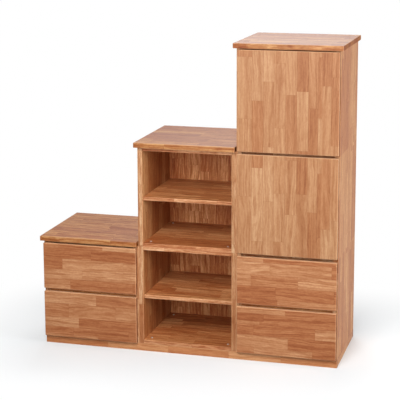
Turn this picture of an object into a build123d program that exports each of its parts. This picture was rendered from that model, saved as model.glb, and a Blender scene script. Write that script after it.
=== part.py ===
"""Step chest: six stacked cube modules in three columns, on one plinth.

Units are millimetres.  +X is to the right, +Y to the back and +Z up.  The origin is on the floor, in the
middle of the overall width and depth.
"""

import os

from build123d import *

# ---------------------------------------------------------------- driving dimensions
# carcass modules
module_width = 450.0
module_height = 450.0
carcass_depth = 445.0
side_thickness = 22.0
board_thickness = 16.0
back_thickness = 16.0
back_inset = 13.0  # from the carcass's rear edge to the back panel
closed_setback = 20.0  # front edges of the boards behind drawers and doors
edge_radius = 1.5

# plinth
plinth_height = 35.0
plinth_thickness = 22.0
rail_thickness = 30.0

# top plates
plate_thickness = 22.0
plate_front_overhang = 22.0
plate_side_overhang = 12.0
plate_end_gap = 4.0  # between a plate's right end and the next column
plate_edge_radius = 2.0

# drawer fronts and doors
front_thickness = 19.0
front_gap = 2.0  # between the back of a front and the carcass
outer_reveal = 2.5  # from the chest's end to a front
inner_reveal = 6.5  # from the middle column to a front
door_end_reveal = 5.5  # from a module's top or bottom to the door
drawer_foot_reveal = 3.0  # from a module's bottom to the lower drawer front
drawer_gap = 14.0  # finger gap between two drawer fronts
drawer_head_reveal = 9.0  # from the upper drawer front to the module's top
front_edge_radius = 3.0

# drawer boxes
box_side_clearance = 1.5
box_back_gap = 18.0  # from the box to the module's back panel
box_wall = 15.0
box_lift = 17.0  # from the front's lower edge to the box's lower edge
box_top_gap = 30.0  # from the box's upper edge to the front's upper edge
bottom_thickness = 6.0
bottom_lift = 10.0
bottom_groove_depth = 5.0
bottom_groove_play = 0.2
bottom_side_play = 0.5

# rail between the two drawers of a module
drawer_rail_depth = 60.0
drawer_rail_setback = 8.0  # behind the carcass's front edge

# drawer runners
runner_height = 16.0
runner_width = 9.0
runner_lift = 75.0  # from the box's lower edge to the runner's lower face
runner_front = 20.0  # from the carcass's front edge to the runner's front end
runner_back_gap = 6.0  # from the runner's rear end to the back panel
runner_play = 0.3
runner_screws = 3
runner_screw_inset = 30.0  # from the runner's ends

# adjustable shelves of the open modules
shelf_thickness = 16.0
shelf_front_setback = 8.0
shelf_back_gap = 4.0
shelf_side_gap = 1.0
shelf_height = 225.0  # from a module's underside to the shelf's top
shelf_edge_radius = 3.0
pin_radius = 2.5
pin_bore_depth = 9.0
pin_reach = 8.0  # how far a pin stands out of the side panel
pin_front = 45.0
pin_back = 46.0  # from the back panel
pin_edge_radius = 0.6
pin_play = 0.1

# connector screws, through each bottom board and up into each plate
screw_side = 25.0  # from the inner face of a side panel
screw_front = 38.0
screw_back = 36.0  # from the back panel
screw_radius = 2.0
screw_length = 30.0
screw_head_radius = 5.0
screw_head_height = 2.2
screw_head_edge = 0.9
screw_socket = 1.6
screw_socket_depth = 1.2
screw_play = 0.1

# wood screws of the runners and of the hinges' mounting plates
wood_screw_radius = 1.75
wood_screw_length = 16.0
wood_screw_head_radius = 3.5
wood_screw_slot_length = 3.6
wood_screw_slot_width = 0.8
wood_screw_slot_depth = 1.4
wood_screw_play = 0.1
sink_angle = 90.0

# bumpers between the fronts and the carcass
bumper_radius = 4.0
bumper_inset = 18.0  # from the front's upper or lower edge
bumper_play = 0.3

# concealed door hinges
cup_radius = 17.5
cup_edge = 4.5  # from the door's edge to the cup
cup_depth = 11.0
cup_wall = 1.2
cup_play = 0.1
cup_flange_radius = 19.0
cup_flange_width = 24.0
cup_flange_height = 56.0
cup_flange_thickness = 1.2
hinge_inset = 92.0  # from the door's end to the hinge's centre
link_width = 12.0
link_height = 12.0
link_reach = 7.0  # behind the back of the door
arm_gap = 3.0  # between the door's link and the arm
arm_length = 54.0
arm_width = 11.0
arm_height = 16.0
arm_edge_radius = 3.0
hinge_plate_thickness = 3.0
hinge_plate_depth = 32.0
hinge_plate_height = 44.0
hinge_plate_front = 21.0
hinge_plate_corner = 5.0
hinge_plate_screw_edge = 6.0  # from the plate's end to its screw

# ---------------------------------------------------------------- layout
# each column, from the left, with what its modules hold, from the bottom
columns = {
    "low": {"lower": "drawers"},
    "middle": {"lower": "open", "upper": "open"},
    "tower": {"lower": "drawers", "centre": "door", "upper": "door"},
}

total_width = module_width * len(columns)
inner_width = module_width - 2 * side_thickness
carcass_front = (plate_front_overhang - carcass_depth) / 2
carcass_back = carcass_front + carcass_depth
carcass_middle = (carcass_front + carcass_back) / 2
back_front = carcass_back - back_inset - back_thickness

front_width = module_width - outer_reveal - inner_reveal
front_back_face = carcass_front - front_gap
door_height = module_height - 2 * door_end_reveal
drawer_front_height = (module_height - drawer_foot_reveal - drawer_gap - drawer_head_reveal) / 2
pin_bore_radius = pin_radius + pin_play
wood_screw_bore = wood_screw_radius + wood_screw_play
box_width = inner_width - 2 * box_side_clearance
box_depth = back_front - box_back_gap - front_back_face
box_height = drawer_front_height - box_lift - box_top_gap
runner_start = carcass_front + runner_front
runner_length = back_front - runner_back_gap - runner_start

column_left = {name: module_width * i - total_width / 2 for i, name in enumerate(columns)}


def module_floor(level):
    """Height of the underside of the module on this level."""
    return plinth_height + module_height * level


def screw_points(left):
    """Where the four connector screws of a module stand, in plan."""
    across = (left + side_thickness + screw_side, left + module_width - side_thickness - screw_side)
    along = (carcass_front + screw_front, back_front - screw_back)
    return [(x, y) for x in across for y in along]


def side_faces(left):
    """Inner face of a module's left and right side panel, each with the direction into the module."""
    return ((left + side_thickness, 1), (left + module_width - side_thickness, -1))


def front_left(column):
    """Left edge of the fronts of a column."""
    reveal = outer_reveal if column == "low" else inner_reveal
    return column_left[column] + reveal


def drawer_floors(floor):
    """Heights of the lower edges of the two drawer fronts of a module."""
    lower = floor + drawer_foot_reveal
    return (lower, lower + drawer_front_height + drawer_gap)


def hinge_heights(floor):
    """Heights of a door's two hinges."""
    reach = door_end_reveal + hinge_inset
    return (floor + reach, floor + module_height - reach)


# ---------------------------------------------------------------- seats on the side panels
def pin_seats(floor, face, inward):
    """Mouths of the two shelf pin bores in one side panel."""
    height = floor + shelf_height - shelf_thickness - pin_play - pin_radius
    along = (carcass_front + pin_front, back_front - pin_back)
    return [Plane((face, y, height), z_dir=(inward, 0, 0)) for y in along]


def runner_seats(lower, face, inward):
    """Screw heads of one runner, from the height of the drawer front's lower edge."""
    across = face + inward * runner_width
    first = runner_start + runner_screw_inset
    spacing = (runner_length - 2 * runner_screw_inset) / (runner_screws - 1)
    height = lower + box_lift + runner_lift + runner_height / 2
    return [Plane((across, first + spacing * i, height), z_dir=(inward, 0, 0)) for i in range(runner_screws)]


def mounting_seats(floor, face, inward):
    """Screw heads of the mounting plates of a door's two hinges."""
    across = face + inward * hinge_plate_thickness
    along = carcass_front + hinge_plate_front + hinge_plate_depth / 2
    reach = hinge_plate_height / 2 - hinge_plate_screw_edge
    heights = [middle + step for middle in hinge_heights(floor) for step in (-reach, reach)]
    return [Plane((across, along, z), z_dir=(inward, 0, 0)) for z in heights]


def side_seats(use, floor, face, inward):
    """Everything that is pinned or screwed to the inner face of one side panel."""
    if use == "open":
        return pin_seats(floor, face, inward)
    if use == "drawers":
        return [seat for lower in drawer_floors(floor) for seat in runner_seats(lower, face, inward)]
    is_hinge_side = inward < 0
    return mounting_seats(floor, face, inward) if is_hinge_side else []


def wood_screw_seats():
    """Heads of all the wood screws of the runners and the mounting plates."""
    return [
        seat
        for column, modules in columns.items()
        for level, use in enumerate(modules.values())
        if use != "open"
        for face in side_faces(column_left[column])
        for seat in side_seats(use, module_floor(level), *face)
    ]


def save(piece, name):
    """Label a finished piece and write it to its own file."""
    piece.label = name
    export_step(piece, f"parts/{name}.step")


# ---------------------------------------------------------------- carcass pieces
def make_side(left, floor, seats, bore_radius, bore_depth):
    """Side panel, bored from its inner side for what is pinned or screwed to it."""
    with BuildPart() as side:
        with BuildSketch(Plane.XY.offset(floor)):
            with Locations((left + side_thickness / 2, carcass_middle)):
                Rectangle(side_thickness, carcass_depth)
        extrude(amount=module_height)
        fillet(side.edges().filter_by(Axis.Z), edge_radius)
        if seats:
            with Locations(*seats):
                Hole(bore_radius, depth=bore_depth)
    return side.part


def make_board(left, underside, setback):
    """Top or bottom board between a module's sides, bored for the connector screws."""
    with BuildPart() as board:
        with BuildSketch(Plane.XY.offset(underside)):
            with Locations((left + module_width / 2, carcass_middle + setback / 2)):
                Rectangle(inner_width, carcass_depth - setback)
        extrude(amount=board_thickness)
        fillet(board.edges().filter_by(Axis.X).group_by(Axis.Y)[0], edge_radius)
        with Locations(*[(x, y, underside + board_thickness) for x, y in screw_points(left)]):
            Hole(radius=screw_radius + screw_play)
    return board.part


def make_backs(left, floors):
    """Back panels of one column, one between the boards of each module."""
    with BuildPart() as backs:
        with BuildSketch(Plane.XZ.offset(-back_front)):
            with Locations(*[(left + module_width / 2, floor + module_height / 2) for floor in floors]):
                Rectangle(inner_width, module_height - 2 * board_thickness)
        extrude(amount=-back_thickness)
    return backs.part


def make_plate(left, right, underside, bores):
    """Top plate with eased edges, bored from below for its screws."""
    with BuildPart() as plate:
        with BuildSketch(Plane.XY.offset(underside)):
            with Locations(((left + right) / 2, carcass_middle - plate_front_overhang / 2)):
                Rectangle(right - left, carcass_depth + plate_front_overhang)
        extrude(amount=plate_thickness)
        fillet(plate.edges(), plate_edge_radius)
        with BuildSketch(Plane.XY.offset(underside)):
            with Locations(*bores):
                Circle(screw_radius + screw_play)
        extrude(amount=screw_length - board_thickness, mode=Mode.SUBTRACT)
    return plate.part


def make_carcass():
    """Sides, boards, backs and top plates of every module."""
    for column, modules in columns.items():
        left = column_left[column]
        right = left + module_width
        for level, (place, use) in enumerate(modules.items()):
            name = f"{column}_{place}"
            floor = module_floor(level)
            is_open = use == "open"
            setback = 0 if is_open else closed_setback
            bore = (pin_bore_radius, pin_bore_depth) if is_open else (wood_screw_bore, wood_screw_length)
            left_face, right_face = side_faces(left)
            left_side = make_side(left, floor, side_seats(use, floor, *left_face), *bore)
            right_side = make_side(right_face[0], floor, side_seats(use, floor, *right_face), *bore)
            save(left_side, f"{name}_side_left")
            save(right_side, f"{name}_side_right")
            save(make_board(left, floor, setback), f"{name}_bottom_board")
            save(make_board(left, floor + module_height - board_thickness, setback), f"{name}_top_board")

        floors = [module_floor(level) for level in range(len(modules))]
        save(make_backs(left, floors), f"{column}_back_panels")

        is_last = column == list(columns)[-1]
        plate_right = right + plate_side_overhang if is_last else right - plate_end_gap
        underside = module_floor(len(modules))
        plate = make_plate(left - plate_side_overhang, plate_right, underside, screw_points(left))
        save(plate, f"{column}_top_plate")


# ---------------------------------------------------------------- plinth
def make_plinth():
    """Long front and back boards, two ends, and a cross rail under each row of screws."""
    span = carcass_depth - 2 * plinth_thickness

    for name, edge, inward in (("front", carcass_front, 1), ("back", carcass_back, -1)):
        with BuildPart() as long_board:
            with BuildSketch():
                with Locations((0, edge + inward * plinth_thickness / 2)):
                    Rectangle(total_width, plinth_thickness)
            extrude(amount=plinth_height)
            fillet(long_board.edges().filter_by(Axis.Z), edge_radius)
        save(long_board.part, f"plinth_{name}")

    with BuildPart() as end_boards:
        with BuildSketch():
            with Locations((0, carcass_middle)):
                with GridLocations(total_width - plinth_thickness, 0, 2, 1):
                    Rectangle(plinth_thickness, span)
        extrude(amount=plinth_height)
    save(end_boards.part, "plinth_ends")

    points = [point for left in column_left.values() for point in screw_points(left)]
    with BuildPart() as rails:
        with BuildSketch():
            with Locations(*[(x, carcass_middle) for x in sorted({x for x, _ in points})]):
                Rectangle(rail_thickness, span)
        extrude(amount=plinth_height)
        with Locations(*[(x, y, plinth_height) for x, y in points]):
            Hole(radius=screw_radius + screw_play, depth=screw_length - board_thickness)
    save(rails.part, "plinth_cross_rails")


# ---------------------------------------------------------------- open modules
def make_shelves():
    """One adjustable shelf in each open module, with four pins under it."""
    left = column_left["middle"]
    shelf_front = carcass_front + shelf_front_setback
    shelf_depth = back_front - shelf_back_gap - shelf_front
    floors = [module_floor(level) for level in range(len(columns["middle"]))]

    for place, floor in zip(columns["middle"], floors):
        with BuildPart() as shelf:
            with BuildSketch(Plane.XY.offset(floor + shelf_height - shelf_thickness)):
                with Locations((left + module_width / 2, shelf_front + shelf_depth / 2)):
                    Rectangle(inner_width - 2 * shelf_side_gap, shelf_depth)
            extrude(amount=shelf_thickness)
            fillet(shelf.edges().filter_by(Axis.X).group_by(Axis.Y)[0], shelf_edge_radius)
        save(shelf.part, f"middle_{place}_shelf")

    with BuildPart() as pin:
        Cylinder(pin_radius, pin_bore_depth, align=(Align.CENTER, Align.CENTER, Align.MAX))
        Cylinder(pin_radius, pin_reach, align=(Align.CENTER, Align.CENTER, Align.MIN))
        fillet(pin.edges().filter_by(GeomType.CIRCLE).sort_by(Axis.Z)[-1], pin_edge_radius)
    seats = [seat for floor in floors for face in side_faces(left) for seat in pin_seats(floor, *face)]
    with BuildPart() as pins:
        with Locations(*seats):
            add(pin.part)
    save(pins.part, "shelf_pins")


# ---------------------------------------------------------------- drawers
def drawer_places():
    """Name, column and height of the lower edge of the front of each drawer."""
    places = []
    for column, modules in columns.items():
        for level, use in enumerate(modules.values()):
            if use == "drawers":
                for place, lower in zip(("lower", "upper"), drawer_floors(module_floor(level))):
                    places.append((f"{column}_{place}_drawer", column, lower))
    return places


def make_front(column, bottom, height):
    """Overlay panel of a drawer, with eased edges."""
    with BuildPart() as front:
        with BuildSketch(Plane.XZ.offset(-front_back_face)):
            with Locations((front_left(column) + front_width / 2, bottom + height / 2)):
                Rectangle(front_width, height)
        extrude(amount=front_thickness)
        fillet(front.edges(), front_edge_radius)
    return front.part


def make_box(left, bottom):
    """Four separate walls of a drawer box, grooved for the bottom, the side walls also for the runners."""
    middle = (left + module_width / 2, front_back_face + box_depth / 2)
    cavity_width = box_width - 2 * box_wall
    groove_size = (
        cavity_width + 2 * bottom_groove_depth,
        box_depth - 2 * box_wall + 2 * bottom_groove_depth,
    )
    groove_height = bottom_thickness + bottom_groove_play
    slot_depth = runner_width - box_side_clearance + runner_play
    slot_start = runner_start - runner_play

    with BuildPart() as side_walls:
        with BuildSketch(Plane.XY.offset(bottom)):
            with Locations(middle):
                with GridLocations(box_width - box_wall, 0, 2, 1):
                    Rectangle(box_wall, box_depth)
        extrude(amount=box_height)
        with BuildSketch(Plane.XZ.offset(-slot_start)):
            with Locations((middle[0], bottom + runner_lift + runner_height / 2)):
                with GridLocations(box_width - slot_depth, 0, 2, 1):
                    Rectangle(slot_depth, runner_height + 2 * runner_play)
        extrude(amount=-box_depth, mode=Mode.SUBTRACT)
        with BuildSketch(Plane.XY.offset(bottom + bottom_lift)):
            with Locations(middle):
                Rectangle(*groove_size)
        extrude(amount=groove_height, mode=Mode.SUBTRACT)

    with BuildPart() as end_walls:
        with BuildSketch(Plane.XY.offset(bottom)):
            with Locations(middle):
                with GridLocations(0, box_depth - box_wall, 1, 2):
                    Rectangle(cavity_width, box_wall)
        extrude(amount=box_height)
        with BuildSketch(Plane.XY.offset(bottom + bottom_lift)):
            with Locations(middle):
                Rectangle(*groove_size)
        extrude(amount=groove_height, mode=Mode.SUBTRACT)

    return Compound(children=[*side_walls.part.solids(), *end_walls.part.solids()])


def make_bottom(left, bottom):
    """Panel that lies in the grooves of a drawer box."""
    reach = bottom_groove_depth - bottom_side_play - box_wall
    with BuildPart() as panel:
        with BuildSketch(Plane.XY.offset(bottom + bottom_lift + bottom_groove_play / 2)):
            with Locations((left + module_width / 2, front_back_face + box_depth / 2)):
                Rectangle(box_width + 2 * reach, box_depth + 2 * reach)
        extrude(amount=bottom_thickness)
    return panel.part


def make_drawers():
    """Front, box and bottom of each drawer, the rails between them and the runners that carry the boxes."""
    for name, column, lower in drawer_places():
        left = column_left[column]
        save(make_front(column, lower, drawer_front_height), f"{name}_front")
        save(make_box(left, lower + box_lift), f"{name}_box")
        save(make_bottom(left, lower + box_lift), f"{name}_bottom")

    # a rail's middle is level with the lower front's top edge
    rail_seats = []
    for column, modules in columns.items():
        for level, use in enumerate(modules.values()):
            if use == "drawers":
                _, upper = drawer_floors(module_floor(level))
                rail_seats.append((column_left[column] + module_width / 2, upper - drawer_gap))
    with BuildPart() as rails:
        with BuildSketch(Plane.XZ.offset(-carcass_front - drawer_rail_setback)):
            with Locations(*rail_seats):
                Rectangle(inner_width, board_thickness)
        extrude(amount=-drawer_rail_depth)
        fillet(rails.edges().filter_by(Axis.X).group_by(Axis.Y)[0], edge_radius)
    save(rails.part, "drawer_rails")

    runner_rise = box_lift + runner_lift + runner_height / 2
    with BuildPart() as runners:
        with BuildSketch(Plane.XZ.offset(-runner_start)):
            for _, column, lower in drawer_places():
                with Locations((column_left[column] + module_width / 2, lower + runner_rise)):
                    with GridLocations(inner_width - runner_width, 0, 2, 1):
                        Rectangle(runner_width, runner_height)
        extrude(amount=-runner_length)
        for _, column, lower in drawer_places():
            for face in side_faces(column_left[column]):
                with Locations(*runner_seats(lower, *face)):
                    CounterSinkHole(wood_screw_bore, wood_screw_head_radius, runner_width, sink_angle)
    save(runners.part, "drawer_runners")


# ---------------------------------------------------------------- doors
def door_places():
    """Name, column and module floor of each door."""
    return [
        (f"{column}_{place}_door", column, module_floor(level))
        for column, modules in columns.items()
        for level, (place, use) in enumerate(modules.items())
        if use == "door"
    ]


def cup_points(column, floor):
    """Centres of a door's two hinge cups, as width and height."""
    across = front_left(column) + front_width - cup_edge - cup_radius
    return [(across, height) for height in hinge_heights(floor)]


def make_door(column, floor):
    """Door panel with eased edges and two cup bores in its back."""
    with BuildPart() as door:
        add(make_front(column, floor + door_end_reveal, door_height))
        with BuildSketch(Plane.XZ.offset(-front_back_face)):
            with Locations(*cup_points(column, floor)):
                Circle(cup_radius + cup_play)
        extrude(amount=cup_depth, mode=Mode.SUBTRACT)
    return door.part


def make_cups(column, floor):
    """Two hinge cups with their flanges, each with the link that swings with the door."""
    centres = cup_points(column, floor)
    inner_face = column_left[column] + module_width - side_thickness
    link_across = inner_face - hinge_plate_thickness - arm_width / 2
    cup_floor = cup_depth - cup_play - cup_wall

    with BuildPart() as cups:
        with BuildSketch(Plane.XZ.offset(-front_back_face)):
            with Locations(*centres):
                Circle(cup_radius)
        extrude(amount=cup_depth - cup_play)
        with BuildSketch(Plane.XZ.offset(-front_back_face)):
            with Locations(*centres):
                Circle(cup_flange_radius)
                Rectangle(cup_flange_width, cup_flange_height)
        extrude(amount=-cup_flange_thickness)
        with BuildSketch(Plane.XZ.offset(-front_back_face - cup_flange_thickness)):
            with Locations(*centres):
                Circle(cup_radius - cup_wall)
        extrude(amount=cup_flange_thickness + cup_floor, mode=Mode.SUBTRACT)
        with BuildSketch(Plane.XZ.offset(-front_back_face - link_reach)):
            with Locations(*[(link_across, height) for _, height in centres]):
                Rectangle(link_width, link_height)
        extrude(amount=link_reach + cup_floor)
    return cups.part


def make_doors():
    """Doors with their hinge cups, and the arms and mounting plates inside the modules."""
    mounts = []
    for name, column, floor in door_places():
        save(make_door(column, floor), name)
        save(make_cups(column, floor), f"{name}_hinge_cups")
        inner_face = column_left[column] + module_width - side_thickness
        mounts += [(inner_face, height) for height in hinge_heights(floor)]

    arm_start = front_back_face + link_reach + arm_gap
    with BuildPart() as arms:
        with BuildSketch(Plane.XZ.offset(-arm_start)):
            with Locations(*[(face - hinge_plate_thickness - arm_width / 2, z) for face, z in mounts]):
                Rectangle(arm_width, arm_height)
        extrude(amount=-arm_length)
        fillet(arms.edges().filter_by(Axis.Y).group_by(Axis.X)[0], arm_edge_radius)
    save(arms.part, "hinge_arms")

    plate_start = carcass_front + hinge_plate_front
    with BuildPart() as plates:
        with BuildSketch(Plane.XZ.offset(-plate_start)):
            with Locations(*[(face - hinge_plate_thickness / 2, z) for face, z in mounts]):
                Rectangle(hinge_plate_thickness, hinge_plate_height)
        extrude(amount=-hinge_plate_depth)
        fillet(plates.edges().filter_by(Axis.X), hinge_plate_corner)
        for _, column, floor in door_places():
            _, hinge_face = side_faces(column_left[column])
            with Locations(*mounting_seats(floor, *hinge_face)):
                CounterSinkHole(wood_screw_bore, wood_screw_head_radius, hinge_plate_thickness, sink_angle)
    save(plates.part, "hinge_mounting_plates")


# ---------------------------------------------------------------- fasteners and bumpers
def make_screws():
    """Connector screws, down through each bottom board and up through each column's last top board."""
    with BuildPart() as screw:
        Cylinder(screw_head_radius, screw_head_height, align=(Align.CENTER, Align.CENTER, Align.MIN))
        fillet(screw.edges().filter_by(GeomType.CIRCLE).sort_by(Axis.Z)[-1], screw_head_edge)
        with BuildSketch(Plane.XY.offset(screw_head_height)):
            RegularPolygon(screw_socket, 6)
        extrude(amount=-screw_socket_depth, mode=Mode.SUBTRACT)
        Cylinder(screw_radius, screw_length, align=(Align.CENTER, Align.CENTER, Align.MAX))

    seats = []
    for column, modules in columns.items():
        points = screw_points(column_left[column])
        for level in range(len(modules)):
            seats += [Location((x, y, module_floor(level) + board_thickness)) for x, y in points]
        plate_seat = module_floor(len(modules)) - board_thickness
        seats += [Location((x, y, plate_seat), (180, 0, 0)) for x, y in points]

    with BuildPart() as screws:
        with Locations(*seats):
            add(screw.part)
    save(screws.part, "connector_screws")


def make_wood_screws():
    """Countersunk screws of the runners and the mounting plates, with cross recesses."""
    head_radius = wood_screw_head_radius - wood_screw_play
    downward = (Align.CENTER, Align.CENTER, Align.MAX)
    with BuildPart() as screw:
        Cylinder(wood_screw_radius, wood_screw_length, align=downward)
        Cone(wood_screw_radius, head_radius, head_radius - wood_screw_radius, align=downward)
        for turn in (0, 90):
            Box(
                wood_screw_slot_length,
                wood_screw_slot_width,
                wood_screw_slot_depth,
                rotation=(0, 0, turn),
                align=downward,
                mode=Mode.SUBTRACT,
            )
    with BuildPart() as screws:
        with Locations(*wood_screw_seats()):
            add(screw.part)
    save(screws.part, "wood_screws")


def make_bumpers():
    """Pads on the sides' front edges: four behind each drawer front, two at each door's free edge."""
    pad_across = (inner_reveal + side_thickness) / 2
    points = []
    for _, column, lower in drawer_places():
        left = column_left[column]
        for height in (lower + bumper_inset, lower + drawer_front_height - bumper_inset):
            points += [(left + pad_across, height), (left + module_width - pad_across, height)]
    for _, column, floor in door_places():
        lower = floor + door_end_reveal
        for height in (lower + bumper_inset, lower + door_height - bumper_inset):
            points.append((column_left[column] + pad_across, height))

    with BuildPart() as bumpers:
        with BuildSketch(Plane.XZ.offset(-carcass_front)):
            with Locations(*points):
                Circle(bumper_radius)
        extrude(amount=front_gap - bumper_play)
    save(bumpers.part, "front_bumpers")


os.makedirs("parts", exist_ok=True)
make_plinth()
make_carcass()
make_shelves()
make_drawers()
make_doors()
make_screws()
make_wood_screws()
make_bumpers()
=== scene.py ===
"""Looks of the step chest: laminated wood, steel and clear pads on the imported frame, and its studio.

Lengths are metres.  +X is to the right, +Y to the back and +Z up.
"""

import math
import bpy
from bpy.props import FloatProperty, FloatVectorProperty, PointerProperty
from mathutils import Euler, Matrix, Vector


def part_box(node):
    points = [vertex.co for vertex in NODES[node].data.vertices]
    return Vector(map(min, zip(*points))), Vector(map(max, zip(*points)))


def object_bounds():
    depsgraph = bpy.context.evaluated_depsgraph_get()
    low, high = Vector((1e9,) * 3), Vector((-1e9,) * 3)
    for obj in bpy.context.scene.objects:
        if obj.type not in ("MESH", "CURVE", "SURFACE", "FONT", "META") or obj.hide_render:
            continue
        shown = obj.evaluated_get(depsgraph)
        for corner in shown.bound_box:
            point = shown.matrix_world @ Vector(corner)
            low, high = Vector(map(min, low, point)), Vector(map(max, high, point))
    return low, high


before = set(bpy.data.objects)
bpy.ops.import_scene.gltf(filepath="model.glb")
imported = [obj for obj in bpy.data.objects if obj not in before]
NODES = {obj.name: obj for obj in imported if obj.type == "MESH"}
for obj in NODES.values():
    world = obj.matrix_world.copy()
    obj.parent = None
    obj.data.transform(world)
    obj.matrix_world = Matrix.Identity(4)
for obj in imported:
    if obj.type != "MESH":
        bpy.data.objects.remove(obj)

bl_info = {
    "name": "Step chest",
    "version": (1, 0, 0),
    "blender": (4, 5, 0),
    "location": "3D View > Sidebar > Step chest",
    "description": "Finishes the wood, the hardware and the studio of the step chest",
    "category": "Object",
}

CAD_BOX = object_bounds()
AXES = "xyz"
MODULES = (
    "low_lower",
    "middle_lower",
    "middle_upper",
    "tower_lower",
    "tower_centre",
    "tower_upper",
)
COLUMNS = ("low", "middle", "tower")
DRAWERS = ("low_lower", "low_upper", "tower_lower", "tower_upper")
DOORS = ("tower_centre_door", "tower_upper_door")

GRAIN_SHADE = (0.70, 0.52, 0.39, 1.0)  # multiplies the colour where the grain is dark
EDGE_HIGHLIGHT_STRENGTH = 0.4  # strength of the painted highlight on rounded edges
TOP_FACE_HIGHLIGHT = 0.6  # strength of the painted highlight on the up-facing faces of doors and drawer fronts
DRAWER_WALL = 0.0152  # just over the thickness of a drawer box's walls

# name, place, what it faces, width or width and height, power in watts
LAMPS = (
    ("key_lamp", (0.8, -4.4, 3.2), (0.0, 0.0, 0.7), 0.8, 73.4),
    ("high_key_lamp", (0.2, -3.4, 3.4), (0.0, 0.0, 0.7), 0.8, 65.7),
    ("near_lamp", (0.1, -2.4, 1.5), (0.1, 0.0, 0.9), 1.2, 21.9),
    ("front_lamp", (0.4, -5.0, 1.7), (0.0, 0.0, 0.7), 2.6, 54.0),
    ("low_front_lamp", (0.2, -4.5, 1.0), (0.0, 0.0, 0.7), 1.6, 9.5),
    ("right_lamp", (4.2, -1.0, 1.5), (0.5, 0.0, 0.7), 2.2, 143.0),
    ("back_lamp", (-0.3, 2.4, 3.2), (0.0, 0.0, 0.8), 1.8, 57.3),
    ("left_lamp", (-3.6, 1.2, 1.6), (0.0, 0.0, 0.7), 2.2, 10.4),
    ("rim_lamp", (0.15, 1.5, 1.62), (0.45, 0.0, 1.4), (1.0, 0.3), 0.2),
)
CAMERA_PLACE = (1.57388, -5.58285, 2.01064)
CAMERA_PITCH, CAMERA_TURN, CAMERA_ROLL = 0.17878, 0.26995, -0.00281  # radians
CAMERA_SHIFT = (-0.01405, -0.16293)  # shares of the sensor's width


# ---------------------------------------------------------------- sizes and colours
class StepChestWood(bpy.types.PropertyGroup):
    """Sizes and tones of the glued staves."""

    lamella_width: FloatProperty(
        name="Lamella width",
        description="Mean width of a lamella",
        default=0.050,
        min=0.005,
        unit="LENGTH",
    )
    stave_length: FloatProperty(
        name="Stave length",
        description="Mean length of a stave",
        default=0.28,
        min=0.02,
        unit="LENGTH",
    )
    ring_width: FloatProperty(
        name="Ring width",
        description="Mean width of an annual ring",
        default=0.0052,
        min=0.0005,
        unit="LENGTH",
    )
    dark_tone: FloatVectorProperty(
        name="Dark stave",
        description="Colour of the darkest staves",
        subtype="COLOR",
        default=(0.635, 0.275, 0.110),
    )
    warm_tone: FloatVectorProperty(
        name="Warm stave",
        description="Colour of the reddish staves",
        subtype="COLOR",
        default=(0.70, 0.325, 0.138),
    )
    middle_tone: FloatVectorProperty(
        name="Middle stave",
        description="Colour of most staves",
        subtype="COLOR",
        default=(0.775, 0.405, 0.186),
    )
    light_tone: FloatVectorProperty(
        name="Light stave",
        description="Colour of the palest staves",
        subtype="COLOR",
        default=(0.865, 0.500, 0.250),
    )
    # Pale tone mixed onto rounded edges and onto the fronts' top faces: a painted highlight
    highlight_tone: FloatVectorProperty(
        name="Edges",
        description="Colour of the highlit edges",
        subtype="COLOR",
        default=(0.95, 0.56, 0.31),
    )
    # The tints of the kinds are partly the wood's own tone and partly painted light and shade: the same
    # wood is tinted paler inside and on the side panels, and darker on the doors and drawer fronts.
    door_tint: FloatVectorProperty(
        name="Doors",
        description="Colour that tints the doors",
        subtype="COLOR",
        default=(0.572, 0.584, 0.624),
    )
    drawer_tint: FloatVectorProperty(
        name="Drawer fronts",
        description="Colour that tints the drawer fronts",
        subtype="COLOR",
        default=(0.629, 0.595, 0.621),
    )
    side_tint: FloatVectorProperty(
        name="Side panels",
        description="Colour that tints the side panels",
        subtype="COLOR",
        default=(0.860, 0.900, 0.880),
    )
    plate_tint: FloatVectorProperty(
        name="Top plates",
        description="Colour that tints the top plates",
        subtype="COLOR",
        default=(0.797, 0.745, 0.535),
    )
    plinth_tint: FloatVectorProperty(
        name="Plinth",
        description="Colour that tints the plinth",
        subtype="COLOR",
        default=(0.713, 0.667, 0.658),
    )
    inside_tint: FloatVectorProperty(
        name="Inside",
        description="Colour that tints boards, shelves, backs and drawer boxes",
        subtype="COLOR",
        default=(1.0, 1.0, 0.97),
    )
    # Tint for the faces that stand forward: paler and less orange, a painted sheen
    front_edge_tint: FloatVectorProperty(
        name="Front edges",
        description="Colour that further tints the front edges of panels, boards and plates",
        subtype="COLOR",
        default=(0.84, 0.91, 1.12),
    )
    door_figure: FloatProperty(
        name="Figure of doors",
        description="Strength of the grain on the doors",
        default=1.25,
        min=0.0,
    )
    drawer_figure: FloatProperty(
        name="Figure of drawers",
        description="Strength of the grain on the drawer fronts",
        default=1.6,
        min=0.0,
    )
    side_figure: FloatProperty(
        name="Figure of sides",
        description="Strength of the grain on the side panels",
        default=2.0,
        min=0.0,
    )
    plate_figure: FloatProperty(
        name="Figure of plates",
        description="Strength of the grain on the top plates",
        default=2.6,
        min=0.0,
    )
    plinth_figure: FloatProperty(
        name="Figure of plinth",
        description="Strength of the grain on the plinth",
        default=1.25,
        min=0.0,
    )
    inside_figure: FloatProperty(
        name="Figure inside",
        description="Strength of the grain on boards, shelves, backs and drawer boxes",
        default=2.6,
        min=0.0,
    )
    refraction: FloatProperty(
        name="Refraction",
        description="Refractive index of the oiled wood",
        default=1.28,
        min=1.0,
        max=2.0,
    )
    side_refraction: FloatProperty(
        name="Refraction of sides",
        description="Refractive index of the side panels' oil",
        default=1.2,
        min=1.0,
        max=2.0,
    )
    roughness: FloatProperty(
        name="Roughness",
        description="Roughness of the oiled face",
        default=0.42,
        min=0.0,
        max=1.0,
        subtype="FACTOR",
    )


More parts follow.
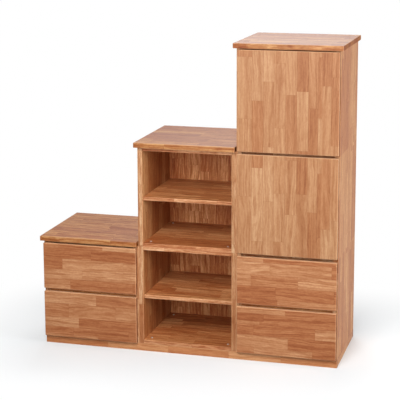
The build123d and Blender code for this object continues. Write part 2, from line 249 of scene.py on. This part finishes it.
class StepChestHardware(bpy.types.PropertyGroup):
    """Colours of the steel and the pads."""

    steel_tone: FloatVectorProperty(
        name="Steel",
        description="Colour of the nickel plated steel",
        subtype="COLOR",
        default=(0.72, 0.71, 0.69),
    )
    pad_tone: FloatVectorProperty(
        name="Pad",
        description="Colour of the clear bumpers",
        subtype="COLOR",
        default=(0.86, 0.87, 0.85),
    )


class StepChestStudio(bpy.types.PropertyGroup):
    """Camera, light and floor."""

    lens: FloatProperty(
        name="Lens",
        description="Focal length",
        default=117.93,
        min=10.0,
        unit="CAMERA",
    )
    power: FloatProperty(
        name="Lamps",
        description="Power of all lamps, as a share of their own",
        default=1.0,
        min=0.0,
    )
    surround: FloatProperty(
        name="Surround", description="Strength of the light from all round", default=0.059, min=0.0
    )
    floor_glow: FloatProperty(
        name="Floor glow",
        description="How far the floor's white shows through its shade",
        default=0.15,
        min=0.0,
        max=1.0,
    )
    shadow_reach: FloatProperty(
        name="Shadow reach",
        description="Distance from the chest at which the floor is white",
        default=0.82,
        min=0.1,
        unit="LENGTH",
    )
    shadow_lean: FloatProperty(
        name="Shadow lean",
        description="How far to the right the floor's shade reaches",
        default=0.2,
        unit="LENGTH",
    )
    floor_tone: FloatVectorProperty(
        name="Floor",
        description="Colour of the floor",
        subtype="COLOR",
        default=(0.87, 0.905, 0.925),
    )
    floor_bounce: FloatVectorProperty(
        name="Floor bounce",
        description="Colour of the light that the floor sends up",
        subtype="COLOR",
        default=(0.35, 0.35, 0.35),
    )
    floor_size: FloatProperty(
        name="Floor size",
        description="Radius of the floor",
        default=9.0,
        min=2.0,
        unit="LENGTH",
    )


# ---------------------------------------------------------------- shader maths
class Value:
    """A number that varies over a surface.  Arithmetic on it adds Math nodes."""

    def __init__(self, nodes, socket):
        self.nodes = nodes
        self.socket = socket

    def __add__(self, other):
        return self.nodes.math("ADD", self, other)

    def __radd__(self, other):
        return self.nodes.math("ADD", other, self)

    def __sub__(self, other):
        return self.nodes.math("SUBTRACT", self, other)

    def __rsub__(self, other):
        return self.nodes.math("SUBTRACT", other, self)

    def __mul__(self, other):
        return self.nodes.math("MULTIPLY", self, other)

    def __rmul__(self, other):
        return self.nodes.math("MULTIPLY", other, self)

    def __truediv__(self, other):
        return self.nodes.math("DIVIDE", self, other)

    def __rtruediv__(self, other):
        return self.nodes.math("DIVIDE", other, self)

    def __pow__(self, other):
        return self.nodes.math("POWER", self, other)

    def __abs__(self):
        return self.nodes.math("ABSOLUTE", self)


class Nodes:
    """Adds nodes to one node tree."""

    def __init__(self, tree):
        self.tree = tree

    def add(self, kind, settings=None, inputs=None):
        """Adds a node, with its settings first and then the values or links of its sockets."""
        node = self.tree.nodes.new(kind)
        for name, setting in (settings or {}).items():
            if name == "stops":
                self.set_stops(node.color_ramp, setting)
            else:
                setattr(node, name, setting)
        for key, given in (inputs or {}).items():
            if isinstance(given, Value):
                given = given.socket
            if isinstance(given, bpy.types.NodeSocket):
                self.tree.links.new(given, node.inputs[key])
            else:
                node.inputs[key].default_value = given
        return node

    def set_stops(self, ramp, stops):
        """Gives a colour ramp its (position, colour) stops."""
        while len(ramp.elements) < len(stops):
            ramp.elements.new(1.0)
        for element, (position, colour) in zip(ramp.elements, stops):
            element.position = position
            element.color = colour

    def value(self, node, output=0):
        """A node's output as a value for arithmetic."""
        return Value(self, node.outputs[output])

    def math(self, operation, *terms):
        """One Math node."""
        return self.value(self.add("ShaderNodeMath", {"operation": operation}, dict(enumerate(terms))))

    def ramped(self, value, low, high):
        """0 below low, 1 above high and smooth between them."""
        node = self.add(
            "ShaderNodeMapRange",
            {"interpolation_type": "SMOOTHSTEP"},
            {"Value": value, "From Min": low, "From Max": high},
        )
        return self.value(node)

    def vector(self, x, y, z):
        """A vector from three values."""
        return self.add("ShaderNodeCombineXYZ", None, {"X": x, "Y": y, "Z": z}).outputs[0]

    def parts(self, vector):
        """The three values of a vector or a colour."""
        node = self.add("ShaderNodeSeparateXYZ", None, {"Vector": vector})
        return [self.value(node, i) for i in range(3)]

    def vector_math(self, operation, first, second):
        """One Vector Math node."""
        return self.add("ShaderNodeVectorMath", {"operation": operation}, {0: first, 1: second}).outputs[0]

    def mix_vectors(self, factor, first, second):
        """The first vector where the factor is 0 and the second where it is 1."""
        node = self.add("ShaderNodeMix", {"data_type": "VECTOR"}, {0: factor, 4: first, 5: second})
        return node.outputs[1]

    def mix_colours(self, factor, first, second, blend="MIX"):
        """Two colours mixed by a factor."""
        settings = {"data_type": "RGBA", "blend_type": blend}
        return self.add("ShaderNodeMix", settings, {0: factor, 6: first, 7: second}).outputs[2]

    def noise(self, vector, detail=2.0, roughness=0.5, scale=1.0):
        """Noise about one half, in cells of one over the scale."""
        inputs = {"Vector": vector, "Scale": scale, "Detail": detail, "Roughness": roughness}
        return self.value(self.add("ShaderNodeTexNoise", None, inputs))

    def line_noise(self, w, detail=1.0):
        """Noise about one half along a line."""
        inputs = {"W": w, "Scale": 1.0, "Detail": detail}
        return self.value(self.add("ShaderNodeTexNoise", {"noise_dimensions": "1D"}, inputs))

    def cells(self, w, randomness):
        """Uneven cells along a line: the middle of the cell and the distance to its edge."""
        inputs = {"W": w, "Scale": 1.0, "Randomness": randomness}
        cell = self.add("ShaderNodeTexVoronoi", {"voronoi_dimensions": "1D"}, inputs)
        edge = self.add(
            "ShaderNodeTexVoronoi", {"voronoi_dimensions": "1D", "feature": "DISTANCE_TO_EDGE"}, inputs
        )
        return self.value(cell, "W"), self.value(edge, "Distance")

    def seen(self):
        """1 for what is seen directly, mirrored or through something clear, and 0 for the light itself."""
        path = self.add("ShaderNodeLightPath")
        seen = self.math("MAXIMUM", self.value(path, "Is Camera Ray"), self.value(path, "Is Glossy Ray"))
        return self.math("MAXIMUM", seen, self.value(path, "Is Transmission Ray"))

    def chance(self, w):
        """One steady random number and three more, for each value of w."""
        node = self.add("ShaderNodeTexWhiteNoise", {"noise_dimensions": "1D"}, {"W": w})
        return self.value(node, "Value"), self.parts(node.outputs["Color"])


def new_material(name):
    """An empty material and the nodes that fill it."""
    material = bpy.data.materials.new(name)
    material.use_nodes = True
    material.node_tree.nodes.clear()
    return material, Nodes(material.node_tree)


def opaque(colour):
    """A colour with its alpha."""
    return (*colour, 1.0)


def grey(level):
    """A grey with its alpha."""
    return (level, level, level, 1.0)


# ---------------------------------------------------------------- wood
def make_wood_group(wood):
    """Node group of solid wood glued from finger-jointed staves.

    Place is metres along the grain, across the lamellae and through the board from its middle.
    """
    tree = bpy.data.node_groups.new("laminated_wood", "ShaderNodeTree")
    for name, kind in (
        ("Place", "NodeSocketVector"),
        ("End grain", "NodeSocketFloat"),
        ("Edge", "NodeSocketFloat"),
        ("Tint", "NodeSocketColor"),
        ("Figure", "NodeSocketFloat"),
    ):
        tree.interface.new_socket(name, in_out="INPUT", socket_type=kind)
    for name, kind in (
        ("Colour", "NodeSocketColor"),
        ("Roughness", "NodeSocketFloat"),
        ("Height", "NodeSocketFloat"),
    ):
        tree.interface.new_socket(name, in_out="OUTPUT", socket_type=kind)
    n = Nodes(tree)
    given = n.add("NodeGroupInput")
    along, across, through = n.parts(given.outputs["Place"])
    end_grain = n.value(given, "End grain")
    edge = n.value(given, "Edge")
    strength = n.value(given, "Figure")

    # which lamella and which stave a point is in
    lamella, lamella_edge = n.cells(across / wood.lamella_width, 0.6)
    lamella_chance, _ = n.chance(lamella * 7.31)
    stave, stave_edge = n.cells(along / wood.stave_length + lamella_chance * 41.0, 0.75)
    stave_chance, (pith_side, pith_depth, pith_tilt) = n.chance(stave * 3.17 + lamella * 11.9)
    pale, _ = n.chance(lamella * 5.93 + stave * 1.71)
    own = stave_chance * 29.0

    # the grain's slope in the stave and its waves
    wander = n.noise(n.vector(along * 4.0 + own, across * 9.0, through * 9.0), detail=1.0)
    ripple = n.noise(n.vector(along * 16.0 + own, across * 18.0, through * 18.0), detail=1.0)
    grain = across + along * (pith_tilt - 0.5) * 0.09 + (wander - 0.5) * 0.024 + (ripple - 0.5) * 0.008

    # annual rings round a pith beside the stave
    sideways = grain - lamella * wood.lamella_width + (pith_side - 0.5) * 0.09
    deep = through + pith_depth * 0.06 + 0.008 + (wander - 0.5) * 0.025
    radius = n.math("SQRT", sideways * sideways + deep * deep)
    ring = n.line_noise(radius / wood.ring_width + own, detail=1.5)
    late_wood = n.ramped(ring, 0.44, 0.70)
    broad_noise = n.line_noise(radius / (wood.ring_width * 2.9) + own, detail=1.0)
    broad_ring = n.ramped(broad_noise, 0.42, 0.62)

    # heartwood streaks, short figure, mottle, fibres and ray flecks
    streak_place = n.vector(along * 7.0 + own, grain * 75.0, through * 75.0)
    streaks = n.ramped(n.noise(streak_place, detail=2.0), 0.44, 0.62)
    figure_place = n.vector(along * 24.0 + own, grain * 170.0, through * 170.0)
    figure = n.ramped(n.noise(figure_place, detail=2.0, roughness=0.6), 0.42, 0.62)
    mottle_place = n.vector(along * 95.0 + own, grain * 130.0, through * 130.0)
    mottle = n.ramped(n.noise(mottle_place, detail=1.0), 0.40, 0.65)
    cloud = n.noise(n.vector(along * 6.0, across * 12.0 + own, through * 12.0), detail=2.0)
    fibre = n.noise(n.vector(along * 45.0 + own, grain * 1500.0, through * 1500.0), detail=2.0)
    fleck_place = n.vector(along * 260.0 + own, grain * 1500.0, through * 1500.0)
    fleck_node = n.add("ShaderNodeTexVoronoi", None, {"Vector": fleck_place, "Scale": 1.0})
    flecks = 1.0 - n.ramped(n.value(fleck_node, "Distance"), 0.12, 0.34)
    pore_place = n.vector(along * 300.0, across * 2600.0, through * 2600.0)
    pores = n.ramped(n.noise(pore_place, detail=1.0), 0.58, 0.70)

    # glue lines
    lamella_line = 1.0 - n.ramped(lamella_edge * wood.lamella_width, 0.00005, 0.0009)
    stave_line = 1.0 - n.ramped(stave_edge * wood.stave_length, 0.00005, 0.0007)
    glue_line = n.math("MAXIMUM", lamella_line, stave_line)

    tones = n.add(
        "ShaderNodeValToRGB",
        {
            "stops": (
                (0.0, opaque(wood.dark_tone)),
                (0.30, opaque(wood.warm_tone)),
                (0.62, opaque(wood.middle_tone)),
                (1.0, opaque(wood.light_tone)),
            )
        },
        {"Fac": n.ramped(stave_chance, 0.02, 0.98) * 0.9 + (cloud - 0.5) * 0.4 + 0.05},
    ).outputs["Color"]
    shade = n.mix_colours(1.0, tones, given.outputs["Tint"], "MULTIPLY")
    for mark, depth in (
        (pale, 0.17),
        (streaks, 0.26),
        (figure, 0.27),
        (mottle, 0.12),
        (broad_ring, 0.26),
        (late_wood, 0.32),
    ):
        shade = n.mix_colours(mark * strength * depth, shade, GRAIN_SHADE, "MULTIPLY")
    for factor, colour in (
        (n.ramped(fibre, 0.3, 0.75) * 0.16, (0.72, 0.60, 0.50, 1.0)),
        (flecks * (1.0 - end_grain) * 0.22, (0.60, 0.42, 0.32, 1.0)),
        (glue_line * 0.55, (0.50, 0.34, 0.26, 1.0)),
        (end_grain * 0.75, (0.60, 0.50, 0.42, 1.0)),
        (end_grain * pores * 0.45, (0.35, 0.25, 0.20, 1.0)),
    ):
        shade = n.mix_colours(factor, shade, colour, "MULTIPLY")
    # painted highlight: the pale tone is mixed onto rounded edges and onto the fronts' top faces
    shade = n.mix_colours(edge * 0.8, shade, opaque(wood.highlight_tone))

    roughness = wood.roughness - edge * 0.06 + late_wood * 0.06 + (fibre - 0.5) * 0.10
    roughness = roughness + glue_line * 0.12 + end_grain * 0.16
    height = fibre * 0.35 - late_wood * 0.12 - flecks * 0.25 - glue_line * 1.1 - end_grain * pores * 0.8
    n.add("NodeGroupOutput", None, {"Colour": shade, "Roughness": roughness, "Height": height})


def edge_highlight_mask(n, facing):
    """1 on the rounded edges, where the pale tone is mixed in as a painted highlight, and 0 on the flat
    faces.
    """
    straight = n.math("MAXIMUM", abs(facing[0]), n.math("MAXIMUM", abs(facing[1]), abs(facing[2])))
    return n.ramped(1.0 - straight, 0.01, 0.15)


def finish_wood(node_name, directions, shift, kind):
    """Finishes one wooden piece of the frame.

    directions holds the axes along, across and through the board.  shift moves it to wood of its own.  kind
    names the tint and the figure.  The up-facing faces of doors and drawer fronts get a painted highlight,
    and the forward faces of pieces that stand edge-on to the front get a painted sheen.
    """
    material, n = new_material(f"{node_name}_wood")
    coordinates = n.add("ShaderNodeTexCoord")
    place = n.parts(coordinates.outputs["Object"])
    facing = n.parts(coordinates.outputs["Normal"])
    along, across, through = (AXES.index(axis) for axis in directions)
    low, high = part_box(node_name)
    middle = (low[through] + high[through]) / 2
    wood_place = n.vector(place[along] + shift[0], place[across] + shift[1], place[through] - middle)
    end_grain = n.ramped(abs(facing[along]), 0.55, 0.9)
    edge = edge_highlight_mask(n, facing) * EDGE_HIGHLIGHT_STRENGTH
    # painted highlight: the up-facing faces of doors and drawer fronts get the pale tone
    if kind in ("door", "drawer"):
        edge = n.math("MAXIMUM", edge, n.ramped(facing[2], 0.4, 0.8) * TOP_FACE_HIGHLIGHT)
    # faces that stand forward get the front edges' tint: paler and less orange, a painted sheen
    stands_forward = directions[2] != "y"
    forward_sheen = n.ramped(facing[1] * -1.0, 0.5, 0.8) if stands_forward else None
    add_wood_shader(n, wood_place, end_grain, edge, kind, forward_sheen)
    paint(node_name, material)


def add_wood_shader(n, wood_place, end_grain, edge, kind, forward_sheen=None):
    """Joins the wood group to a shader in the material's node tree.

    forward_sheen is 1 on the edges that face the front; without it the whole piece has the tint of its kind.
    """
    wood = bpy.context.scene.step_chest_wood
    if "laminated_wood" not in bpy.data.node_groups:
        make_wood_group(wood)
    # the kind's tint is partly the wood's own tone and partly painted light and shade
    own_tint = getattr(wood, f"{kind}_tint")
    tint = opaque(own_tint)
    if forward_sheen is not None:
        front_tint = [own * extra for own, extra in zip(own_tint, wood.front_edge_tint)]
        tint = n.mix_colours(forward_sheen, tint, opaque(front_tint))
    figure = getattr(wood, f"{kind}_figure")
    group = n.add(
        "ShaderNodeGroup",
        {"node_tree": bpy.data.node_groups["laminated_wood"]},
        {"Place": wood_place, "End grain": end_grain, "Edge": edge, "Tint": tint, "Figure": figure},
    )
    relief = {"Strength": 0.6, "Distance": 0.0002, "Height": group.outputs["Height"]}
    bump = n.add("ShaderNodeBump", None, relief)
    shader = n.add(
        "ShaderNodeBsdfPrincipled",
        None,
        {
            "Base Color": group.outputs["Colour"],
            "Roughness": group.outputs["Roughness"],
            "IOR": wood.side_refraction if kind == "side" else wood.refraction,
            "Normal": bump.outputs["Normal"],
        },
    )
    n.add("ShaderNodeOutputMaterial", None, {"Surface": shader.outputs["BSDF"]})


def paint(node_name, material):
    """Gives a piece of the frame its finish."""
    materials = NODES[node_name].data.materials
    materials.clear()
    materials.append(material)


def finish_drawer_box(node_name, shift):
    """Finishes a drawer box, whose side walls run back and whose end walls run across."""
    material, n = new_material(f"{node_name}_wood")
    coordinates = n.add("ShaderNodeTexCoord")
    x, y, z = n.parts(coordinates.outputs["Object"])
    facing = n.parts(coordinates.outputs["Normal"])
    low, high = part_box(node_name)
    middle = (low + high) / 2
    half = (high - low) / 2
    is_side = n.math("GREATER_THAN", abs(x - middle.x), half.x - DRAWER_WALL)
    side_place = n.vector(y + shift[0], z + shift[1], abs(x - middle.x) - (half.x - DRAWER_WALL / 2))
    end_place = n.vector(x + shift[0], z + shift[1] + 0.5, abs(y - middle.y) - (half.y - DRAWER_WALL / 2))
    wood_place = n.mix_vectors(is_side, end_place, side_place)
    end_grain = n.ramped(is_side * abs(facing[1]), 0.55, 0.9)
    add_wood_shader(n, wood_place, end_grain, edge_highlight_mask(n, facing) * EDGE_HIGHLIGHT_STRENGTH, "inside")
    paint(node_name, material)


# ---------------------------------------------------------------- hardware
def finish_steel(node_name, hardware):
    """Nickel plated steel with fine scratches."""
    material, n = new_material(f"{node_name}_steel")
    place = n.add("ShaderNodeTexCoord").outputs["Object"]
    cloud = n.noise(place, detail=3.0, scale=160.0)
    scratches = n.noise(n.vector_math("MULTIPLY", place, (3000.0, 900.0, 200.0)), detail=2.0)
    tone = n.mix_colours(cloud * 0.4, opaque(hardware.steel_tone), (0.52, 0.50, 0.47, 1.0))
    bump = n.add("ShaderNodeBump", None, {"Strength": 0.25, "Distance": 0.00008, "Height": scratches})
    shader = n.add(
        "ShaderNodeBsdfPrincipled",
        None,
        {
            "Base Color": tone,
            "Metallic": 1.0,
            "Roughness": 0.26 + cloud * 0.12 + (scratches - 0.5) * 0.1,
            "Normal": bump.outputs["Normal"],
        },
    )
    n.add("ShaderNodeOutputMaterial", None, {"Surface": shader.outputs["BSDF"]})
    paint(node_name, material)


def finish_pads(node_name, hardware):
    """Milky clear soft plastic."""
    material, n = new_material(f"{node_name}_plastic")
    place = n.add("ShaderNodeTexCoord").outputs["Object"]
    cloud = n.noise(place, detail=2.0, scale=900.0)
    tone = n.mix_colours(cloud * 0.5, opaque(hardware.pad_tone), (0.72, 0.73, 0.70, 1.0))
    bump = n.add("ShaderNodeBump", None, {"Strength": 0.2, "Distance": 0.0001, "Height": cloud})
    shader = n.add(
        "ShaderNodeBsdfPrincipled",
        None,
        {
            "Base Color": tone,
            "Roughness": 0.3 + cloud * 0.15,
            "IOR": 1.45,
            "Transmission Weight": 0.45,
            "Normal": bump.outputs["Normal"],
        },
    )
    n.add("ShaderNodeOutputMaterial", None, {"Surface": shader.outputs["BSDF"]})
    paint(node_name, material)


# ---------------------------------------------------------------- operators
class STEPCHEST_OT_side_panels(bpy.types.Operator):
    """Finishes the side panels, with the grain upright"""

    bl_idname = "step_chest.side_panels"
    bl_label = "Side panels"

    def execute(self, context):
        for i, module in enumerate(MODULES):
            for j, side in enumerate(("side_left", "side_right")):
                finish_wood(f"{module}_{side}", "zyx", (1.37 * i + 4.1 * j, 0.73 * i + 2.9 * j), "side")
        return {"FINISHED"}


class STEPCHEST_OT_boards(bpy.types.Operator):
    """Finishes the top and bottom boards of the modules, with the grain across"""

    bl_idname = "step_chest.boards"
    bl_label = "Top and bottom boards"

    def execute(self, context):
        for i, module in enumerate(MODULES):
            for j, board in enumerate(("bottom_board", "top_board")):
                finish_wood(f"{module}_{board}", "xyz", (2.11 * i + 5.3 * j, 0.91 * i + 3.7 * j), "inside")
        return {"FINISHED"}


class STEPCHEST_OT_back_panels(bpy.types.Operator):
    """Finishes the back panels, with the grain upright"""

    bl_idname = "step_chest.back_panels"
    bl_label = "Back panels"

    def execute(self, context):
        for i, column in enumerate(COLUMNS):
            finish_wood(f"{column}_back_panels", "zxy", (3.3 * i + 0.4, 1.9 * i), "inside")
        return {"FINISHED"}


class STEPCHEST_OT_top_plates(bpy.types.Operator):
    """Finishes the three overhanging top plates, with the grain across"""

    bl_idname = "step_chest.top_plates"
    bl_label = "Top plates"

    def execute(self, context):
        for i, column in enumerate(COLUMNS):
            finish_wood(f"{column}_top_plate", "xyz", (2.7 * i + 0.9, 1.3 * i + 0.2), "plate")
        return {"FINISHED"}


class STEPCHEST_OT_plinth(bpy.types.Operator):
    """Finishes the plinth's boards, ends and rails"""

    bl_idname = "step_chest.plinth"
    bl_label = "Plinth"

    def execute(self, context):
        finish_wood("plinth_front", "xzy", (0.3, 6.1), "plinth")
        finish_wood("plinth_back", "xzy", (5.9, 7.4), "plinth")
        finish_wood("plinth_ends", "yzx", (3.6, 4.8), "plinth")
        finish_wood("plinth_cross_rails", "yxz", (1.1, 2.2), "plinth")
        return {"FINISHED"}


class STEPCHEST_OT_shelves(bpy.types.Operator):
    """Finishes the adjustable shelves, with the grain across"""

    bl_idname = "step_chest.shelves"
    bl_label = "Shelves"

    def execute(self, context):
        for i, module in enumerate(("middle_lower", "middle_upper")):
            finish_wood(f"{module}_shelf", "xyz", (4.4 * i + 1.2, 2.3 * i + 1.1), "inside")
        return {"FINISHED"}


class STEPCHEST_OT_drawer_fronts(bpy.types.Operator):
    """Finishes the drawer fronts, with the grain across"""

    bl_idname = "step_chest.drawer_fronts"
    bl_label = "Drawer fronts"

    def execute(self, context):
        for i, drawer in enumerate(DRAWERS):
            finish_wood(f"{drawer}_drawer_front", "xzy", (1.3 * i + 0.2, 0.43 * i + 0.1), "drawer")
        return {"FINISHED"}


class STEPCHEST_OT_doors(bpy.types.Operator):
    """Finishes both doors from one glued panel, with the grain upright"""

    bl_idname = "step_chest.doors"
    bl_label = "Doors"

    def execute(self, context):
        for door in DOORS:
            finish_wood(door, "zxy", (0.0, 0.0), "door")
        return {"FINISHED"}


class STEPCHEST_OT_drawer_boxes(bpy.types.Operator):
    """Finishes the walls and bottoms of the drawer boxes"""

    bl_idname = "step_chest.drawer_boxes"
    bl_label = "Drawer boxes"

    def execute(self, context):
        for i, drawer in enumerate(DRAWERS):
            finish_drawer_box(f"{drawer}_drawer_box", (1.7 * i + 0.5, 1.1 * i + 0.6))
            finish_wood(f"{drawer}_drawer_bottom", "xyz", (2.9 * i, 0.8 * i + 5.0), "inside")
        return {"FINISHED"}


class STEPCHEST_OT_runners(bpy.types.Operator):
    """Finishes the wooden runner strips and the rails between the drawers"""

    bl_idname = "step_chest.runners"
    bl_label = "Drawer runners and rails"

    def execute(self, context):
        finish_wood("drawer_runners", "yzx", (0.6, 0.9), "inside")
        finish_wood("drawer_rails", "xzy", (1.6, 3.2), "inside")
        return {"FINISHED"}


class STEPCHEST_OT_hinges(bpy.types.Operator):
    """Finishes the cups, arms and mounting plates of the concealed hinges"""

    bl_idname = "step_chest.hinges"
    bl_label = "Hinges"

    def execute(self, context):
        for door in DOORS:
            finish_steel(f"{door}_hinge_cups", context.scene.step_chest_hardware)
        finish_steel("hinge_arms", context.scene.step_chest_hardware)
        finish_steel("hinge_mounting_plates", context.scene.step_chest_hardware)
        return {"FINISHED"}


class STEPCHEST_OT_screws(bpy.types.Operator):
    """Finishes the screws and the shelf pins"""

    bl_idname = "step_chest.screws"
    bl_label = "Screws and pins"

    def execute(self, context):
        for node_name in ("connector_screws", "wood_screws", "shelf_pins"):
            finish_steel(node_name, context.scene.step_chest_hardware)
        return {"FINISHED"}


class STEPCHEST_OT_bumpers(bpy.types.Operator):
    """Finishes the soft pads behind the fronts"""

    bl_idname = "step_chest.bumpers"
    bl_label = "Bumpers"

    def execute(self, context):
        finish_pads("front_bumpers", context.scene.step_chest_hardware)
        return {"FINISHED"}


def make_floor(studio):
    """A round pale floor that keeps the chest's shadow and goes to white further out."""
    radius = studio.floor_size
    rings = 24
    spokes = 96
    points = [(0.0, 0.0, 0.0)]
    for i in range(1, rings + 1):
        for j in range(spokes):
            angle = 2 * math.pi * j / spokes
            reach = radius * i / rings
            points.append((reach * math.cos(angle), reach * math.sin(angle), 0.0))
    faces = [(0, 1 + j, 1 + (j + 1) % spokes) for j in range(spokes)]
    for i in range(rings - 1):
        for j in range(spokes):
            inner = 1 + i * spokes
            outer = inner + spokes
            k = (j + 1) % spokes
            faces.append((inner + j, outer + j, outer + k, inner + k))
    mesh = bpy.data.meshes.new("studio_floor")
    mesh.from_pydata(points, [], faces)
    floor = bpy.data.objects.new("studio_floor", mesh)
    bpy.context.scene.collection.objects.link(floor)

    material, n = new_material("studio_floor")
    x, y, _ = n.parts(n.add("ShaderNodeTexCoord").outputs["Object"])
    beyond_x = n.math("MAXIMUM", abs(x - studio.shadow_lean) - CAD_BOX[1][0], 0.0)
    beyond_y = n.math("MAXIMUM", abs(y) - CAD_BOX[1][1], 0.0)
    distance = n.math("SQRT", beyond_x * beyond_x + beyond_y * beyond_y)
    seen = n.seen()
    tone = n.mix_colours(seen, opaque(studio.floor_bounce), opaque(studio.floor_tone))
    matte = n.add("ShaderNodeBsdfDiffuse", None, {"Color": tone})
    white = n.add("ShaderNodeEmission", None, {"Color": grey(1.0), "Strength": 1.0})
    far = n.ramped(distance, 0.0, studio.shadow_reach)
    glow = (studio.floor_glow + far * (1.0 - studio.floor_glow)) * seen
    shader = n.add("ShaderNodeMixShader", None, {0: glow, 1: matte.outputs[0], 2: white.outputs[0]})
    n.add("ShaderNodeOutputMaterial", None, {"Surface": shader.outputs[0]})
    mesh.materials.append(material)


def make_world(studio):
    """Even light from all round; what is seen of it directly or mirrored is white."""
    world = bpy.data.worlds.new("studio_surround")
    world.use_nodes = True
    world.node_tree.nodes.clear()
    n = Nodes(world.node_tree)
    seen = n.seen()
    lighting = n.add("ShaderNodeBackground", None, {"Color": grey(1.0), "Strength": studio.surround})
    shown = n.add("ShaderNodeBackground", None, {"Color": grey(1.0), "Strength": 1.0})
    shader = n.add("ShaderNodeMixShader", None, {0: seen, 1: lighting.outputs[0], 2: shown.outputs[0]})
    n.add("ShaderNodeOutputWorld", None, {"Surface": shader.outputs[0]})
    bpy.context.scene.world = world


def add_lamp(name, place, target, size, power):
    """A soft lamp that faces the target."""
    lamp = bpy.data.lights.new(name, "AREA")
    lamp.shape = "RECTANGLE"
    lamp.size, lamp.size_y = size if isinstance(size, tuple) else (size, size)
    lamp.energy = power
    carrier = bpy.data.objects.new(name, lamp)
    carrier.location = place
    carrier.rotation_euler = (Vector(target) - Vector(place)).to_track_quat("-Z", "Y").to_euler()
    carrier.visible_camera = False
    bpy.context.scene.collection.objects.link(carrier)


def add_camera(studio):
    """The camera, above and a little to the right of the chest's middle."""
    data = bpy.data.cameras.new("studio_camera")
    data.sensor_width = 36.0
    data.lens = studio.lens
    data.shift_x, data.shift_y = CAMERA_SHIFT
    carrier = bpy.data.objects.new("studio_camera", data)
    level = Euler((math.pi / 2 - CAMERA_PITCH, 0.0, CAMERA_TURN), "XYZ").to_matrix()
    carrier.rotation_euler = (level @ Matrix.Rotation(CAMERA_ROLL, 3, "Z")).to_euler()
    carrier.location = CAMERA_PLACE
    bpy.context.scene.collection.objects.link(carrier)
    bpy.context.scene.camera = carrier


class STEPCHEST_OT_studio(bpy.types.Operator):
    """Builds the floor, the light and the camera"""

    bl_idname = "step_chest.studio"
    bl_label = "Studio"

    def execute(self, context):
        studio = context.scene.step_chest_studio
        make_floor(studio)
        make_world(studio)
        for name, place, target, size, watts in LAMPS:
            add_lamp(name, place, target, size, watts * studio.power)
        add_camera(studio)
        context.scene.view_settings.view_transform = "Standard"
        return {"FINISHED"}


class STEPCHEST_PT_pieces(bpy.types.Panel):
    """Lists the operators of the step chest"""

    bl_idname = "STEPCHEST_PT_pieces"
    bl_label = "Step chest"
    bl_space_type = "VIEW_3D"
    bl_region_type = "UI"
    bl_category = "Step chest"

    def draw(self, context):
        for operator in OPERATORS:
            self.layout.operator(operator.bl_idname)


OPERATORS = (
    STEPCHEST_OT_side_panels,
    STEPCHEST_OT_boards,
    STEPCHEST_OT_back_panels,
    STEPCHEST_OT_top_plates,
    STEPCHEST_OT_plinth,
    STEPCHEST_OT_shelves,
    STEPCHEST_OT_drawer_fronts,
    STEPCHEST_OT_doors,
    STEPCHEST_OT_drawer_boxes,
    STEPCHEST_OT_runners,
    STEPCHEST_OT_hinges,
    STEPCHEST_OT_screws,
    STEPCHEST_OT_bumpers,
    STEPCHEST_OT_studio,
)
SETTINGS = {
    "step_chest_wood": StepChestWood,
    "step_chest_hardware": StepChestHardware,
    "step_chest_studio": StepChestStudio,
}


def register():
    """Adds the settings, the operators and the panel."""
    for group in SETTINGS.values():
        bpy.utils.register_class(group)
    for name, group in SETTINGS.items():
        setattr(bpy.types.Scene, name, PointerProperty(type=group))
    for operator in OPERATORS:
        bpy.utils.register_class(operator)
    bpy.utils.register_class(STEPCHEST_PT_pieces)


def unregister():
    """Takes away what register added."""
    bpy.utils.unregister_class(STEPCHEST_PT_pieces)
    for operator in reversed(OPERATORS):
        bpy.utils.unregister_class(operator)
    for name, group in SETTINGS.items():
        delattr(bpy.types.Scene, name)
        bpy.utils.unregister_class(group)


def main():
    """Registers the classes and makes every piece."""
    register()
    bpy.ops.step_chest.side_panels()
    bpy.ops.step_chest.boards()
    bpy.ops.step_chest.back_panels()
    bpy.ops.step_chest.top_plates()
    bpy.ops.step_chest.plinth()
    bpy.ops.step_chest.shelves()
    bpy.ops.step_chest.drawer_fronts()
    bpy.ops.step_chest.doors()
    bpy.ops.step_chest.drawer_boxes()
    bpy.ops.step_chest.runners()
    bpy.ops.step_chest.hinges()
    bpy.ops.step_chest.screws()
    bpy.ops.step_chest.bumpers()
    bpy.ops.step_chest.studio()


if __name__ == "__main__":
    main()
